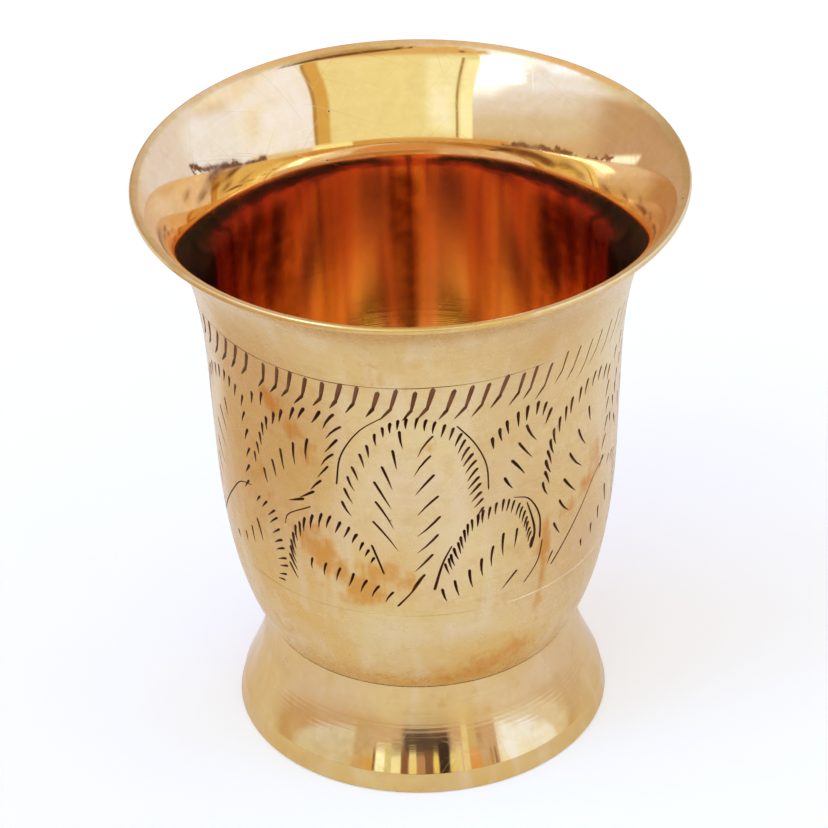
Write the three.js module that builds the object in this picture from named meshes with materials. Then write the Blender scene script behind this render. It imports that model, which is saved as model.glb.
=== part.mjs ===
// Footed brass tumbler: a thin bowl with a flared mouth, brazed onto a hollow flared foot.
// Millimetres, +Z up. The origin is the centre of the ring that the foot stands on.

import * as THREE from "three";

// Heights, each measured from the one before it, from the table up
const footHeight = 18; // table to the seam where the bowl meets the foot
const bellyRise = 33.2; // seam to the end of the rounded belly
const bodyRise = 16.8; // straight stretch between belly and flare
const flareRise = 31; // start of the flare to its end under the lip
const shoulderRise = 14.3; // start of the flare to the shoulder inside, where the straight bore ends
const lipCrown = 0.45; // outer edge of the lip above its inner edge

// Outside radii of the bowl
const seamRadius = 25.6;
const bellyRadius = 33.1;
const throatRadius = 33.9;
const flareRadius = 44.3;
const lipRadius = 45;

// Bowl
const bowlWall = 1.2;
const floorDrop = 5.5; // seam down to the underside of the bowl's floor
const seamLean = 35; // degrees from upright, where the belly leaves the foot
const flareLean = 55; // degrees from upright, at the end of the flare
const mouthLean = 57; // the same, on the inside
const lipEase = 0.3;

// Turned guide lines above and below the engraved band
const lineDepth = 0.2;
const lineWidth = 0.5;
const lowerLineRise = 18.7; // seam to lower line
const upperLineDrop = 17; // top of the lip to upper line

// Foot
const footRadius = 31.1; // at the table
const footWall = 1.4;
const bandHeight = 3.4; // upright band round the bottom edge
const bandDraft = 0.8; // how far the band draws in over its height
const footLean = 24.5; // degrees that the foot leans in above the band
const neckLean = 4; // degrees that it still leans in at the seam
const baseEase = 0.3;

// Brazed joint
const jointGap = 0.3; // between bowl and foot, and round the braze ring
const brazeLeg = 2.4; // how far the braze ring creeps along each wall
const brazeHollow = 0.5; // how far its face is drawn towards the corner, as a share

// How strongly each curve follows its end directions, as a share of its chord
const floorPull = 0.55;
const seamPullBelow = 0.2;
const seamPullAbove = 0.24;
const bellyPull = 0.41;
const throatPull = 0.61;
const lipPull = 0.19;
const shoulderPull = 0.3;
const mouthPull = 0.2;
const bandPull = 0.28;
const neckPull = 0.36;

const roundSegments = 92;
const floorSteps = 5;
const bellySteps = 7;
const bodySteps = 1;
const flareSteps = 10;
const mouthSteps = 8;
const footSteps = 7;
const brazeSteps = 3;

// Profiles are drawn as (radius, height). A lean is an angle from upright, positive outwards.
const point = (radius, height) => new THREE.Vector2(radius, height);

function leaning(degrees) {
  const angle = THREE.MathUtils.degToRad(degrees);
  return point(Math.sin(angle), Math.cos(angle));
}

// The direction square to a rising one, pointing out of the metal.
const outwards = (direction) => point(direction.y, -direction.x);

// A smooth curve that leaves one point and reaches another along given directions.
function bend(from, leaving, leavingPull, to, arriving, arrivingPull) {
  const chord = from.distanceTo(to);
  return new THREE.CubicBezierCurve(
    from,
    from.clone().addScaledVector(leaving, leavingPull * chord),
    to.clone().addScaledVector(arriving, -arrivingPull * chord),
    to,
  );
}

// Points of a rising curve, moved out of the metal by a distance, or into it where that is negative.
function offsetPoints(curve, steps, distance) {
  return Array.from({ length: steps + 1 }, (_, i) => {
    const out = outwards(curve.getTangent(i / steps));
    return curve.getPoint(i / steps).addScaledVector(out, distance);
  });
}

// Reads a row of points like a graph: the wanted coordinate where the known one reaches a value.
// The known coordinate has to rise along the row.
function lookUp(points, known, value, wanted) {
  const next = Math.max(1, points.findIndex((p) => p[known] >= value));
  const [a, b] = [points[next - 1], points[next]];
  return THREE.MathUtils.mapLinear(value, a[known], b[known], a[wanted], b[wanted]);
}

const seam = point(seamRadius, footHeight);
const belly = point(bellyRadius, seam.y + bellyRise);
const throat = point(throatRadius, belly.y + bodyRise);
const flareEnd = point(flareRadius, throat.y + flareRise);
const bodyDirection = throat.clone().sub(belly).normalize();

const bowlCurves = [
  {
    steps: floorSteps,
    curve: bend(
      point(0, seam.y - floorDrop), point(1, 0), floorPull,
      seam, leaning(seamLean), seamPullBelow,
    ),
  },
  {
    steps: bellySteps,
    curve: bend(seam, leaning(seamLean), seamPullAbove, belly, bodyDirection, bellyPull),
  },
  { steps: bodySteps, curve: new THREE.LineCurve(belly, throat) },
  {
    steps: flareSteps,
    curve: bend(throat, bodyDirection, throatPull, flareEnd, leaning(flareLean), lipPull),
  },
];

// The wall from the middle of the floor up along some of its curves, as one row of points.
function wallPoints(distance, curves = bowlCurves) {
  return curves.flatMap(({ curve, steps }, i) => offsetPoints(curve, steps, distance).slice(i ? 1 : 0));
}

// The inside follows the outside up the belly, runs on straight to a shoulder, then opens to the lip.
// The wall is thickest round the shoulder.
function insidePoints() {
  const [floorCurve, bellyCurve, , flare] = bowlCurves;
  const bore = wallPoints(-bowlWall, [floorCurve, bellyCurve]);
  const boreRise = bodyRise + shoulderRise;
  const shoulder = bore.at(-1).clone().addScaledVector(bodyDirection, boreRise / bodyDirection.y);
  const lipInnerEdge = offsetPoints(flare.curve, flare.steps, -bowlWall).at(-1);
  const mouth = bend(shoulder, bodyDirection, shoulderPull, lipInnerEdge, leaning(mouthLean), mouthPull);
  return [...bore, ...mouth.getPoints(mouthSteps)];
}

// A shallow V-shaped line turned into the outside of the wall at one height.
function withTurnedLine(points, height) {
  const edges = [height - lineWidth / 2, height + lineWidth / 2];
  const [below, above] = edges.map((y) => point(lookUp(points, "y", y, "x"), y));
  const bottom = point(lookUp(points, "y", height, "x") - lineDepth, height);
  return [
    ...points.filter((p) => p.y < edges[0]),
    below,
    bottom,
    above,
    ...points.filter((p) => p.y > edges[1]),
  ];
}

function bowlProfile() {
  const inside = insidePoints();
  const lipInnerEdge = inside.at(-1);
  const top = lipInnerEdge.y + lipCrown;
  const lipUnderEdge = point(
    lipRadius,
    flareEnd.y + (lipRadius - flareRadius) / Math.tan(THREE.MathUtils.degToRad(flareLean)),
  );
  const lip = [lipUnderEdge, point(lipRadius, top - lipEase), point(lipRadius - lipEase, top)];
  const lineHeights = [seam.y + lowerLineRise, top - upperLineDrop];
  const outside = lineHeights.reduce(withTurnedLine, wallPoints(0));
  return [...outside, ...lip, ...inside.reverse()];
}

// The foot is a skirt of even wall. Its top end follows the underside of the bowl.
const bowlUnderside = wallPoints(jointGap);
const bandTop = point(footRadius - bandDraft, bandHeight);
const footTop = seam.clone().addScaledVector(outwards(leaning(seamLean)), jointGap);
const footCurve = bend(bandTop, leaning(-footLean), bandPull, footTop, leaning(-neckLean), neckPull);

// The inside of the foot, from the band up to where it stops short of the bowl.
function footInside() {
  const wall = offsetPoints(footCurve, footSteps, -footWall);
  const radius = wall.at(-1).x;
  return [...wall.slice(0, -1), point(radius, lookUp(bowlUnderside, "x", radius, "y"))];
}

function footProfile() {
  return [
    point(footRadius - baseEase, 0),
    point(footRadius - (baseEase * bandDraft) / bandHeight, baseEase),
    ...offsetPoints(footCurve, footSteps, 0),
    ...footInside().reverse(),
    point(footRadius - footWall, 0),
    point(footRadius - baseEase, 0),
  ];
}

// The ring of brazing metal fills the corner inside the foot, under the bowl.
function brazeProfile() {
  const wall = footInside();
  const outerRadius = wall.at(-1).x - jointGap;
  const underBowl = Array.from({ length: brazeSteps + 1 }, (_, i) => {
    const radius = outerRadius - (brazeLeg * i) / brazeSteps;
    return point(radius, lookUp(bowlUnderside, "x", radius, "y"));
  });
  const corner = underBowl[0];
  const innerEnd = underBowl.at(-1);
  const lowHeight = corner.y - brazeLeg;
  const lowEnd = point(lookUp(wall, "y", lowHeight, "x") - jointGap, lowHeight);
  const drawnIn = innerEnd.clone().add(lowEnd).divideScalar(2).lerp(corner, brazeHollow);
  const face = new THREE.QuadraticBezierCurve(innerEnd, drawnIn, lowEnd).getPoints(brazeSteps);
  return [lowEnd, ...underBowl, ...face.slice(1)];
}

function revolved(name, profile, material) {
  const geometry = new THREE.LatheGeometry(profile, roundSegments).rotateX(Math.PI / 2);
  const mesh = new THREE.Mesh(geometry, material);
  mesh.name = name;
  return mesh;
}

const brass = new THREE.MeshStandardMaterial({ color: 0xd9b77a, metalness: 1, roughness: 0.25 });
const brazingBrass = new THREE.MeshStandardMaterial({ color: 0xb8904c, metalness: 1, roughness: 0.5 });

const tumbler = new THREE.Group();
tumbler.add(
  revolved("bowl", bowlProfile(), brass),
  revolved("foot", footProfile(), brass),
  revolved("braze_ring", brazeProfile(), brazingBrass),
);

export default tumbler;
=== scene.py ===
import math
import random

import bmesh
import bpy
import numpy as np
from mathutils import Matrix, Vector
from mathutils.geometry import delaunay_2d_cdt


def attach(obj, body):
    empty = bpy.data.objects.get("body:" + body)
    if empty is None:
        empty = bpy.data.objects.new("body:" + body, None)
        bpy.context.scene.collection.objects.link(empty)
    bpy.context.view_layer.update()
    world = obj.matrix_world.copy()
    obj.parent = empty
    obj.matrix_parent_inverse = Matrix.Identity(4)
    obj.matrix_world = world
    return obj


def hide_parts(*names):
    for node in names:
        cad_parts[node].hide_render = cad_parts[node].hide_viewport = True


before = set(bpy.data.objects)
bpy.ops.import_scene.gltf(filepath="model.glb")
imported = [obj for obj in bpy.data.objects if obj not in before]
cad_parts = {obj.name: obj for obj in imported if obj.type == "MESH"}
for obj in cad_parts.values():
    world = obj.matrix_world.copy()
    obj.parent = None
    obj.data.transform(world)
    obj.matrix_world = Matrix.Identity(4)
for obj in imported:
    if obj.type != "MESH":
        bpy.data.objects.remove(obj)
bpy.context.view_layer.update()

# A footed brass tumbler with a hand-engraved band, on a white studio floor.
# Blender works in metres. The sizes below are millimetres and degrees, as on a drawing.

MM = 0.001

# The photograph's camera. The focal length and the image width are in pixels.
CAMERA_DISTANCE = 830.3
CAMERA_AIM = (-0.364, 0, 54.93)
CAMERA_ELEVATION = 33.76
CAMERA_ROLL = -1.51
SENSOR = 36
IMAGE_WIDTH = 828
FOCAL_PIXELS = 5039

# Heights, each measured from the one before it, from the table up
FOOT_HEIGHT = 18
BELLY_RISE = 33.2
BODY_RISE = 16.8
FLARE_RISE = 31
SHOULDER_RISE = 14.3
LIP_CROWN = 0.45

# Outside radii of the bowl
SEAM_RADIUS = 25.6
BELLY_RADIUS = 33.1
THROAT_RADIUS = 33.9
FLARE_RADIUS = 44.3
LIP_RADIUS = 45

BOWL_WALL = 1.2
FLOOR_DROP = 5.5
SEAM_LEAN = 35
FLARE_LEAN = 55
MOUTH_LEAN = 57
LIP_EASE = 0.3

FOOT_RADIUS = 31.1
FOOT_WALL = 1.4
BAND_HEIGHT = 3.4
BAND_DRAFT = 0.8
FOOT_LEAN = 24.5
NECK_LEAN = 4
BASE_EASE = 0.3
JOINT_GAP = 0.3
SEAM_GAP = 0.05  # between the finer bowl and foot
BRAZE_LEG = 2.4

# How strongly each curve follows its end directions, as a share of its chord
FLOOR_PULL = 0.55
SEAM_PULL_BELOW = 0.2
SEAM_PULL_ABOVE = 0.24
BELLY_PULL = 0.41
THROAT_PULL = 0.61
LIP_PULL = 0.19
SHOULDER_PULL = 0.3
MOUTH_PULL = 0.2
BAND_PULL = 0.28
NECK_PULL = 0.36
STRAIGHT = 1 / 3

# Rounded edges
LIP_ROUND = 0.22
BASE_ROUND = 0.25
BASE_INNER_ROUND = 0.3
FOOT_TOP_ROUND = 0.08

# Ripples left by the lathe on the foot
RIPPLE_DEPTH = 0.004
RIPPLE_PITCH = 0.85
RIPPLE_ENDS = [7.7, 8.7, 10.4, 11.6]  # heights where they start, are full, are still full and end

# Steps of the finer curves
ROUND = 240  # facets round every turned piece
CURVE_STEPS = (22, 26, 8, 30)
BORE_STEPS = 16
MOUTH_STEPS = 36
FOOT_STEPS = 170
FOOT_INSIDE_STEPS = 24
BRAZE_TOP_STEPS = 4
BRAZE_FACE_STEPS = 6

# Engraved band
BAND_LOW = 34.5
BAND_HIGH = 87.5
BAND_ROWS = 50
UNROLL_RADIUS = 33  # radius at which a degree is turned into millimetres
LOWER_LINE = 36.8
UPPER_LINE = 83.5

# Roughness, and the strength of the turning marks, where one holds all over
WALL_ROUGH, WALL_LATHE = 0.27, 0.3
LIP_ROUGH = 0.26
UNDER_FOOT_ROUGH, UNDER_FOOT_LATHE = 0.38, 0.8
BRAZE_ROUGH, BRAZE_LATHE = 0.5, 0
# The same by height, and how much old stains show. Heights are above the shoulder for the inside of
# the bowl, and above the table for the foot.
INSIDE_ROUGH = ([-6, 1], [0.045, 0.05])
INSIDE_LATHE = ([-34, -20, -8, 1], [0.8, 0.5, 0.3, 0.05])
INSIDE_AGED = ([0.5, 4], [0, 0.6])
FOOT_ROUGH = ([BAND_HEIGHT - 0.3, BAND_HEIGHT + 0.2, 9, 11.2, 13], [0.26, 0.05, 0.052, 0.11, 0.25])
FOOT_LATHE = ([3, 6, 8, 11, 12], [0.1, 0.12, 0.3, 0.4, 0.4])
# Where each surface starts on the run of turning marks, so that no two are alike
LIP_RUN = 120
INSIDE_RUN = 125
FOOT_RUN = 200
UNDER_FOOT_RUN = 230


def point(radius, height):
    return np.array([radius, height], float)


def leaning(degrees):
    angle = math.radians(degrees)
    return point(math.sin(angle), math.cos(angle))


def bend(start, leaving, leaving_pull, end, arriving, arriving_pull):
    """Control points of a curve that leaves one point and reaches another along given directions."""
    chord = np.linalg.norm(end - start)
    return [start, start + leaving * leaving_pull * chord, end - arriving * arriving_pull * chord, end]


def along(controls, steps, offset=0):
    """Points of a cubic curve, moved sideways out of the metal by offset."""
    a, b, c, d = controls
    t = np.linspace(0, 1, steps + 1)[:, None]
    place = (1 - t) ** 3 * a + 3 * (1 - t) ** 2 * t * b + 3 * (1 - t) * t * t * c + t**3 * d
    slope = (1 - t) ** 2 * (b - a) + 2 * (1 - t) * t * (c - b) + t * t * (d - c)
    slope /= np.linalg.norm(slope, axis=1, keepdims=True)
    return place + offset * np.stack([slope[:, 1], -slope[:, 0]], 1)


def chain(*runs):
    """Joins runs of points end to end, keeping one of each doubled point."""
    rows = np.vstack(runs)
    keep = np.r_[True, np.linalg.norm(np.diff(rows, axis=0), axis=1) > 1e-6]
    return rows[keep]


def arc(start, corner, end, steps):
    """Points of a curve that is drawn towards a corner."""
    shares = np.linspace(0, 1, steps + 1)
    return [(1 - t) ** 2 * start + 2 * (1 - t) * t * corner + t * t * end for t in shares]


def eased(corners, radius, steps=4):
    """An open run of corners, each inner one rounded off."""
    out = [corners[0]]
    for before, corner, after in zip(corners, corners[1:], corners[2:]):
        ins = before - corner
        outs = after - corner
        reach = min(radius, 0.45 * np.linalg.norm(ins), 0.45 * np.linalg.norm(outs))
        a = corner + ins / np.linalg.norm(ins) * reach
        b = corner + outs / np.linalg.norm(outs) * reach
        out += arc(a, corner, b, steps)
    return np.array(out + [corners[-1]])


seam = point(SEAM_RADIUS, FOOT_HEIGHT)
belly = point(BELLY_RADIUS, seam[1] + BELLY_RISE)
throat = point(THROAT_RADIUS, belly[1] + BODY_RISE)
flare_end = point(FLARE_RADIUS, throat[1] + FLARE_RISE)
body_direction = (throat - belly) / np.linalg.norm(throat - belly)

bowl_curves = [
    bend(point(0, seam[1] - FLOOR_DROP), point(1, 0), FLOOR_PULL, seam, leaning(SEAM_LEAN), SEAM_PULL_BELOW),
    bend(seam, leaning(SEAM_LEAN), SEAM_PULL_ABOVE, belly, body_direction, BELLY_PULL),
    bend(belly, body_direction, STRAIGHT, throat, body_direction, STRAIGHT),
    bend(throat, body_direction, THROAT_PULL, flare_end, leaning(FLARE_LEAN), LIP_PULL),
]


def wall(offset):
    """The bowl's wall from the middle of the floor to the end of the flare."""
    return chain(*(along(c, n, offset) for c, n in zip(bowl_curves, CURVE_STEPS)))


outside = wall(0)


def wall_radius(height):
    return np.interp(height, outside[:, 1], outside[:, 0])


def inside_wall():
    """The inside follows the belly, runs straight up to a shoulder and then opens to the lip."""
    floor_curve, belly_curve, _, flare_curve = bowl_curves
    floor_run, belly_run = (along(c, n, -BOWL_WALL) for c, n in zip((floor_curve, belly_curve), CURVE_STEPS))
    shoulder = belly_run[-1] + body_direction * (BODY_RISE + SHOULDER_RISE) / body_direction[1]
    bore = bend(belly_run[-1], body_direction, STRAIGHT, shoulder, body_direction, STRAIGHT)
    lip_edge = along(flare_curve, 1, -BOWL_WALL)[-1]
    mouth = bend(shoulder, body_direction, SHOULDER_PULL, lip_edge, leaning(MOUTH_LEAN), MOUTH_PULL)
    return chain(floor_run, belly_run, along(bore, BORE_STEPS), along(mouth, MOUTH_STEPS))


def bowl_rings():
    """The runs of the bowl's section below and above the engraved band."""
    inside = inside_wall()
    top = inside[-1][1] + LIP_CROWN
    lip_rise = (LIP_RADIUS - FLARE_RADIUS) / math.tan(math.radians(FLARE_LEAN))
    under = point(LIP_RADIUS, flare_end[1] + lip_rise)
    edge = point(LIP_RADIUS, top - LIP_EASE)
    crown = point(LIP_RADIUS - LIP_EASE, top)
    low = [p for p in outside if p[1] < BAND_LOW - 0.2] + [point(wall_radius(BAND_LOW), BAND_LOW)]
    high = [point(wall_radius(BAND_HIGH), BAND_HIGH)] + [p for p in outside if p[1] > BAND_HIGH + 0.2]
    lip = eased([outside[-1], under, edge, crown, inside[-1], inside[-2]], LIP_ROUND)
    return np.array(low), np.array(high), lip, inside[::-1][2:]


# The engraving is drawn on the unrolled wall as (degrees, height). Zero degrees faces the camera,
# and positive is to its right. Each run of chisel strokes is a ladder: a curve of heads, where the
# chisel went in, a curve of tails, where it came out, the number of strokes and their width.
LEAF_UNIT = 120  # the leaves repeat three times round the bowl
LEAF_LADDERS = [
    # tall leaf: left side, top and right side of its arch, and the two rows of the feather inside it
    ([(-21.5, 59.7), (-19.4, 65), (-16, 69.1), (-11.2, 73.9)],
     [(-18.6, 56.6), (-17.4, 61.7), (-14.9, 66.4), (-11, 71.2)], 7, 0.4),
    ([(-9.1, 75.5), (-4.5, 77.1), (1.9, 77.3), (9.7, 75)],
     [(-9, 73.1), (-4.6, 74.9), (1.5, 74.6), (8.4, 72.2)], 9, 0.42),
    ([(11.9, 73.7), (15.5, 68.6), (17.2, 63.7), (18.3, 58.1)],
     [(10.1, 70.8), (12.6, 65.5), (13.8, 60.5), (16.1, 56.6)], 11, 0.42),
    ([(-4.7, 74.8), (-7.6, 69.6), (-12, 65.2), (-11.9, 60.9), (-12.8, 56.5)],
     [(-3.9, 70.9), (-6, 65.6), (-7.3, 60.6), (-6.9, 56), (-5.5, 50.2)], 6, 0.36),
    ([(4.4, 73.6), (3.8, 69.5), (5, 64.5), (5.9, 59), (5, 52.5), (1.4, 46)],
     [(-0.4, 69.1), (-1.4, 64.5), (-1, 59), (-0.9, 54), (-1.4, 48.5), (-2.8, 42)], 8, 0.34),
    # side leaf on the left: arch, right edge and veins
    ([(-51, 62.9), (-46, 70.3), (-39, 74.3), (-30, 76.7), (-22, 76.9)],
     [(-50.5, 60.5), (-45.5, 67.7), (-40.5, 71.2), (-32, 73.8), (-26, 73)], 11, 0.5),
    ([(-20.2, 74.6), (-22, 70.5), (-26, 64.2), (-29.5, 60.2), (-33, 58)],
     [(-25.2, 71.2), (-26, 68), (-28.6, 63), (-32.5, 59), (-39, 56.4)], 7, 0.38),
    ([(-30.5, 70.4), (-38.8, 67.2), (-47.2, 60.7)], [(-31.6, 65.5), (-38.2, 62.3), (-46, 57.5)], 5, 0.44),
    # side leaf on the right: arch and veins
    ([(20.2, 71.5), (25.2, 74.5), (31.3, 76), (36.3, 75.5), (39, 73.4)],
     [(20.8, 69), (25.6, 71.2), (30.8, 72.6), (35, 72.8), (36.8, 70.4)], 8, 0.5),
    ([(30.5, 72.1), (27.5, 68), (24, 62.9)], [(34.3, 68), (32.4, 63.5), (26.9, 60)], 4, 0.42),
    # short leaf: left and top of its arch, right edge and veins
    ([(36.4, 59.3), (38.7, 67), (44.2, 72), (52.9, 74.7), (60.5, 74.9), (66.4, 73)],
     [(38.6, 56), (40.6, 64.8), (44.9, 69), (52.2, 71.5), (58.9, 71.9), (64.6, 70)], 15, 0.48),
    ([(66.4, 69.9), (67.2, 63.9), (65.1, 55.7)], [(64.2, 66.8), (64.9, 61.3), (62.2, 53.3)], 5, 0.44),
    ([(54.8, 68.9), (47.6, 63.6), (43.4, 55.5), (40.8, 50)],
     [(55.9, 65.3), (52.3, 57), (48, 51), (43.9, 46.8)], 6, 0.42),
    ([(75, 76.4), (70.7, 75.2)], [(73.7, 73), (69.7, 72.2)], 2, 0.46),
    # shell on the left: arch and the row inside it
    ([(-40.6, 43.6), (-38.3, 50), (-34.2, 53.8), (-26.5, 56.2), (-19, 54.3), (-15, 51.5), (-12.7, 49.2)],
     [(-37.6, 40.3), (-37, 47.3), (-33.7, 51), (-26.7, 53), (-19.7, 51.2), (-16, 49.2), (-13.9, 47.6)],
     17, 0.44),
    ([(-31.8, 46.4), (-22, 45.7), (-14.9, 44.1), (-7.6, 42.2)],
     [(-32.2, 43.7), (-23.5, 42.3), (-17.3, 41.1), (-10.6, 39.6)], 7, 0.38),
    # shell on the right
    ([(7, 47.9), (9.6, 51), (14, 55.8), (20, 58), (25, 58.6), (29.8, 56.5), (32, 52.5), (33.6, 49.3)],
     [(8.3, 45.3), (10.8, 48), (14.2, 53), (19.8, 55.3), (24.8, 55.9), (29, 53.3), (31.2, 50), (32.3, 47.2)],
     24, 0.4),
    ([(6.2, 42.6), (12.7, 45.5), (20.3, 49.4), (24.5, 52.2), (28.2, 52.1)],
     [(7.6, 39.5), (14.3, 41.4), (20.9, 45.5), (24.4, 47), (27.3, 47.9)], 7, 0.4),
    # low shell under the short leaf
    ([(69.8, 54.1), (75.6, 53.1), (77.7, 47.8), (78.8, 42.2), (77, 38.7)],
     [(67.8, 52.3), (72, 51), (74, 46.1), (74.9, 41.3), (73.5, 38.2)], 11, 0.38),
    ([(67.2, 49), (61, 44.6), (54, 42.4)], [(69, 44.4), (62, 42), (55, 40.4)], 4, 0.46),
    ([(41.2, 44.1), (28.8, 43.4)], [(39.3, 41.5), (23.5, 39.9)], 2, 0.34),
]
# Long cut lines round the leaves: a smooth curve, and the width at its start and end
LEAF_LINES = [
    ([(-22.7, 62.6), (-21, 68.5), (-15.5, 74), (-8.2, 77.6)], 0.26, 0.16),
    ([(10.5, 75.1), (15.5, 71), (18.8, 66.3), (19.5, 61)], 0.22, 0.22),
    ([(1.3, 45.8), (-2.2, 42.4), (-7, 38.8)], 0.2, 0.3),
    ([(-13.5, 51.6), (-12, 49), (-10.2, 45.6)], 0.34, 0.26),
    ([(-40.6, 51.2), (-39, 53.6), (-31, 56.8)], 0.16, 0.22),
    ([(9, 51.3), (6.3, 47.8), (3.8, 42.2)], 0.2, 0.44),
    ([(27, 58.4), (32, 57), (35.7, 52.8), (36, 47.9)], 0.16, 0.34),
    ([(31.3, 56.5), (33.4, 52.5), (34.1, 49.7), (32.8, 46.6)], 0.2, 0.5),
    ([(37, 47.6), (35.6, 43.5), (31, 39.8)], 0.26, 0.2),
    ([(40.8, 41.2), (53.5, 49.8), (60, 53.8), (67, 55.3)], 0.3, 0.16),
]
# Fine scratches below the leaves, each from one (degrees, height) to another
SCRAPES = [
    ((15.2, 40.4), (26, 37.3)), ((12, 40), (27, 35.8)), ((14, 42.4), (27, 43.2)), ((16, 37.2), (27.4, 40.6)),
    ((8, 38.4), (24, 38.9)), ((4, 37.5), (-13, 38.3)), ((-16, 37.4), (-4, 39)), ((17, 41.6), (31, 39.2)),
]
SCRAPE_WIDTH = 0.11
BORDER_STROKES = 76
BORDER_LIMIT = 0.17
FAINT_AT, FAINT_HALF = 58, 26  # where the border's strokes are worn, in degrees
LINE_END = 184  # guide lines run a little past the back
UPPER_LINE_WIDTH = 0.26
LOWER_LINE_WIDTH = 0.24
# The lower line's stretches, each to an azimuth and with its stain. It is clean on the right of the front.
LOWER_LINE_PARTS = [(18, 0.25), (84, 0), (LINE_END, 0.25)]
# How much wider than drawn the strokes and the lines are cut
STROKE_WIDENING = 1.4
LINE_WIDENING = 1.35
CUT_SLOPE = 0.85  # depth of a cut for each millimetre in from its edge
TEARDROP = [(0.3, 0.92), (0.6, 0.66), (0.85, 0.36), (1, 0)]
BORDER_BODY = [(0.3, 0.98), (0.7, 0.84), (0.92, 0.66), (1, 0)]
hand = random.Random(11)


def unroll(places):
    return np.array([(math.radians(degrees) * UNROLL_RADIUS, height) for degrees, height in places])


def through(points, shares):
    """Places on a smooth curve through points, at the given shares of its length."""
    points = np.asarray(points, float)
    reach = np.r_[0, np.cumsum(np.linalg.norm(np.diff(points, axis=0), axis=1))]
    ends = np.vstack([2 * points[0] - points[1], points, 2 * points[-1] - points[-2]])
    places = []
    for share in shares:
        want = share * reach[-1]
        i = min(int(np.searchsorted(reach, want, side="right")) - 1, len(points) - 2)
        t = (want - reach[i]) / (reach[i + 1] - reach[i])
        a, b, c, d = ends[i : i + 4]
        bent = (2 * a - 5 * b + 4 * c - d) * t**2 + (3 * b - a - 3 * c + d) * t**3
        places.append(0.5 * (2 * b + (c - a) * t + bent))
    return np.array(places)


class Cut:
    """One groove: its middle line, half its width along that line, its greatest depth and how dark it is."""

    def __init__(self, line, half, limit=1, stain=1):
        self.line = np.asarray(line, float)
        self.half = np.asarray(half, float)
        self.limit = limit
        self.stain = stain


def shaped(path, width, taper, **more):
    """A cut with a round head whose width then follows a taper of (share of length, share of width)."""
    length = np.linalg.norm(np.diff(path, axis=0), axis=1).sum()
    head = 0.55 * width / length
    shape = [(0, 0), (0.25 * head, 0.24), (0.6 * head, 0.58), (head, 0.94)]
    shape += [(share, size) for share, size in taper if share > 1.3 * head]
    shares, sizes = zip(*shape)
    return Cut(through(path, shares), 0.5 * width * np.array(sizes), **more)


def shaken(place, reach):
    return place + np.array([hand.uniform(-reach, reach), hand.uniform(-reach, reach)])


def leaf_cuts(turn, shake):
    """The strokes and lines of one unit of leaves, turned round the bowl by degrees."""
    cuts = []
    sideways = np.array([math.radians(turn) * UNROLL_RADIUS, 0])
    for heads, tails, count, width in LEAF_LADDERS:
        shares = np.linspace(0, 1, count)
        shares[1:-1] += [hand.uniform(-0.1, 0.1) / count for _ in shares[1:-1]]
        for head, tail in zip(through(unroll(heads), shares), through(unroll(tails), shares)):
            head = shaken(head, shake)
            tail = shaken(tail, shake)
            lean = tail - head
            middle = (head + tail) / 2 + np.array([-lean[1], lean[0]]) * hand.uniform(-0.07, 0.03)
            path = np.array([head, middle, tail]) + sideways
            cuts.append(shaped(path, STROKE_WIDENING * width * hand.uniform(0.88, 1.12), TEARDROP))
    for places, start, end in LEAF_LINES:
        path = unroll(places)
        steps = max(6, int(np.linalg.norm(np.diff(path, axis=0), axis=1).sum() / 0.8))
        taper = [(t, 1 + (end / start - 1) * t) for t in np.linspace(0.05, 0.96, steps)] + [(1, 0)]
        cuts.append(shaped(path + sideways, LINE_WIDENING * start, taper))
    return cuts


def border_cuts():
    """The strokes under the upper line: a straight body, then a hook to the left. They fade at the right."""
    cuts = []
    for i in range(BORDER_STROKES):
        degrees = (i + hand.uniform(-0.13, 0.13)) * 360 / BORDER_STROKES - 180
        weak = math.exp(-(((degrees - FAINT_AT) / FAINT_HALF) ** 4))
        head = unroll([(degrees, UPPER_LINE + hand.uniform(-0.7, 0.35))])[0]
        lean = hand.uniform(0.18, 0.28) + 0.2 * math.exp(-(((degrees + 58) / 12) ** 2))
        body = hand.uniform(3.7, 4.7)
        heel = head + [-lean * body, -body]
        hook = hand.uniform(1.8, 2.4)
        tip = heel + [-hand.uniform(0.62, 0.82) * hook, -hook]
        width = hand.uniform(0.7, 0.92) * (1 - 0.5 * weak)
        stain = 0.72 - 0.2 * weak
        path = np.array([head, (head + heel) / 2 + [0.03, 0], heel])
        cuts.append(shaped(path, width, BORDER_BODY, limit=BORDER_LIMIT, stain=stain))
        start = heel + [0.3 * width, 0.35]
        path = np.array([start, (start + tip) / 2, tip])
        cuts.append(shaped(path, 0.85 * width, TEARDROP, limit=BORDER_LIMIT, stain=stain + 0.14))
    return cuts


def guide_line(height, width, wobble, fade, stain, start=-LINE_END, end=LINE_END):
    """A line scribed round the wall. It wavers a little, and it is fainter on the right of the front."""
    degrees = np.linspace(start, end, int(end - start) // 2 + 1)
    turn = np.radians(degrees)
    lift = wobble * (np.sin(3 * turn + 0.4) + 0.6 * np.sin(8 * turn + 1.3) + 0.4 * np.sin(17 * turn))
    faint = fade * np.exp(-(((degrees - 55) / 32) ** 2))
    half = 0.5 * width * (1 - faint) * (0.85 + 0.15 * np.sin(13 * turn + 0.7))
    return Cut(np.stack([turn * UNROLL_RADIUS, height + lift], 1), half, stain=stain)


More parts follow.
